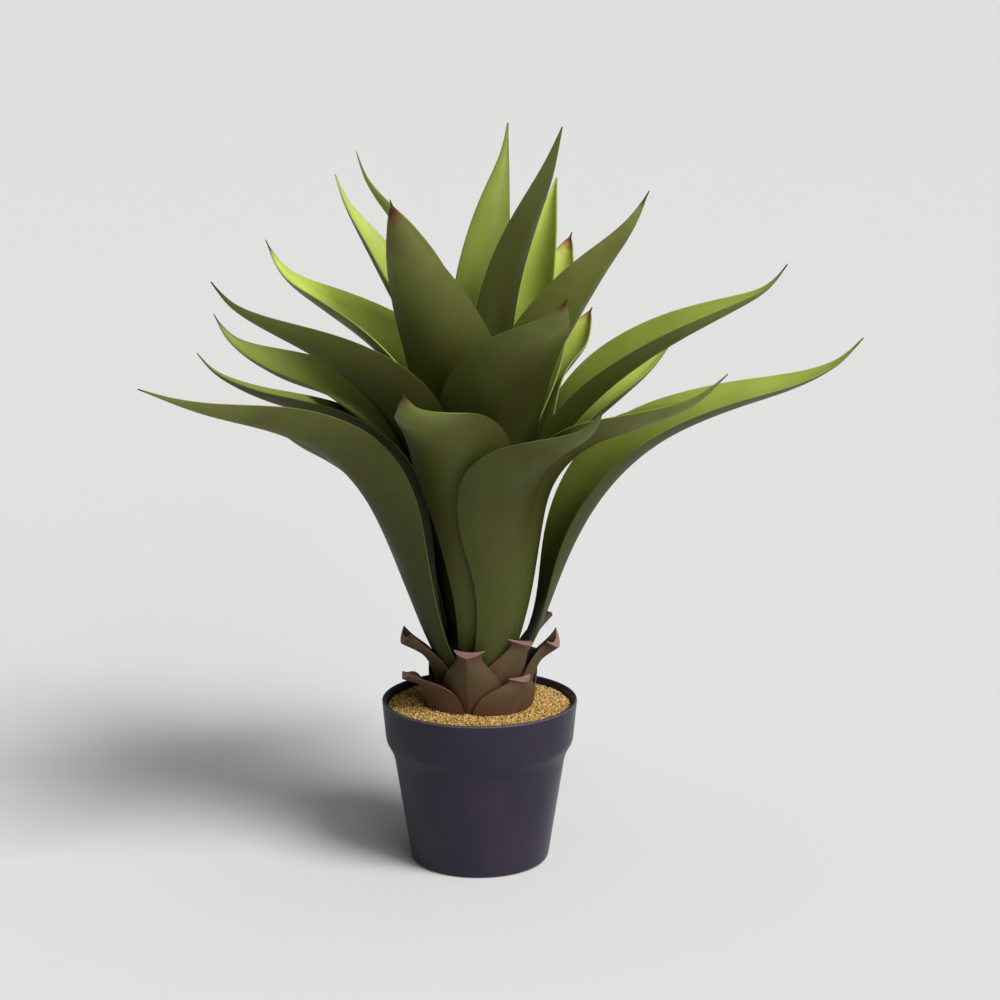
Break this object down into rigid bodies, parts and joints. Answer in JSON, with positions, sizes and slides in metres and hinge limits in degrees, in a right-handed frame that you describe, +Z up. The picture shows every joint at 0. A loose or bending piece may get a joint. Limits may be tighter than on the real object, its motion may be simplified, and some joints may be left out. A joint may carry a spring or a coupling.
{
  "type": "potted agave",
  "caption": "Agave rosette of long channelled leaves on a short stem ringed with cut leaf bases, standing in a round pot of sand-topped soil.",
  "frame": {"origin": "middle of the pot's underside, on the floor", "axes": "+Z up the stem, -Y towards the side that the picture shows, +X to its right"},
  "size_m": [0.5871, 0.459, 0.6391],
  "materials": {
    "pot_plastic": "satin",
    "soil": "matte",
    "sand": "matte",
    "stem": "matte",
    "cut_base": "matte",
    "leaf": "satin"
  },
  "bodies": {
    "root": {"pot": "pot_plastic", "soil": "soil", "sand_topping": "sand", "stem": "stem", "cut_base_front": "cut_base", "cut_base_front_right": "cut_base", "cut_base_front_left": "cut_base", "cut_base_right_upper": "cut_base", "cut_base_left": "cut_base", "cut_base_right": "cut_base", "cut_base_back_right": "cut_base", "cut_base_back_left": "cut_base", "cut_base_back": "cut_base", "cut_base_back_left_low": "cut_base", "cut_base_back_right_low": "cut_base", "leaf_front_left_low": "leaf", "leaf_front_low": "leaf", "leaf_right_low": "leaf", "leaf_back_low": "leaf", "leaf_back_left_low": "leaf", "leaf_front_left_second": "leaf", "leaf_front_right_second": "leaf", "leaf_back_right_second": "leaf", "leaf_back_second": "leaf", "leaf_left_second": "leaf", "leaf_left_third": "leaf", "leaf_front_left_third": "leaf", "leaf_front_third": "leaf", "leaf_back_right_third": "leaf", "leaf_back_third": "leaf", "leaf_front_upper": "leaf", "leaf_right_upper": "leaf", "leaf_back_right_upper": "leaf", "leaf_back_left_upper": "leaf", "leaf_back_upper": "leaf", "leaf_front_right_inner": "leaf", "leaf_right_inner": "leaf", "leaf_back_right_inner": "leaf", "leaf_left_inner": "leaf", "leaf_back_left_inner": "leaf", "leaf_back_inner": "leaf", "leaf_back_right_heart": "leaf"}
  },
  "joints": []
}
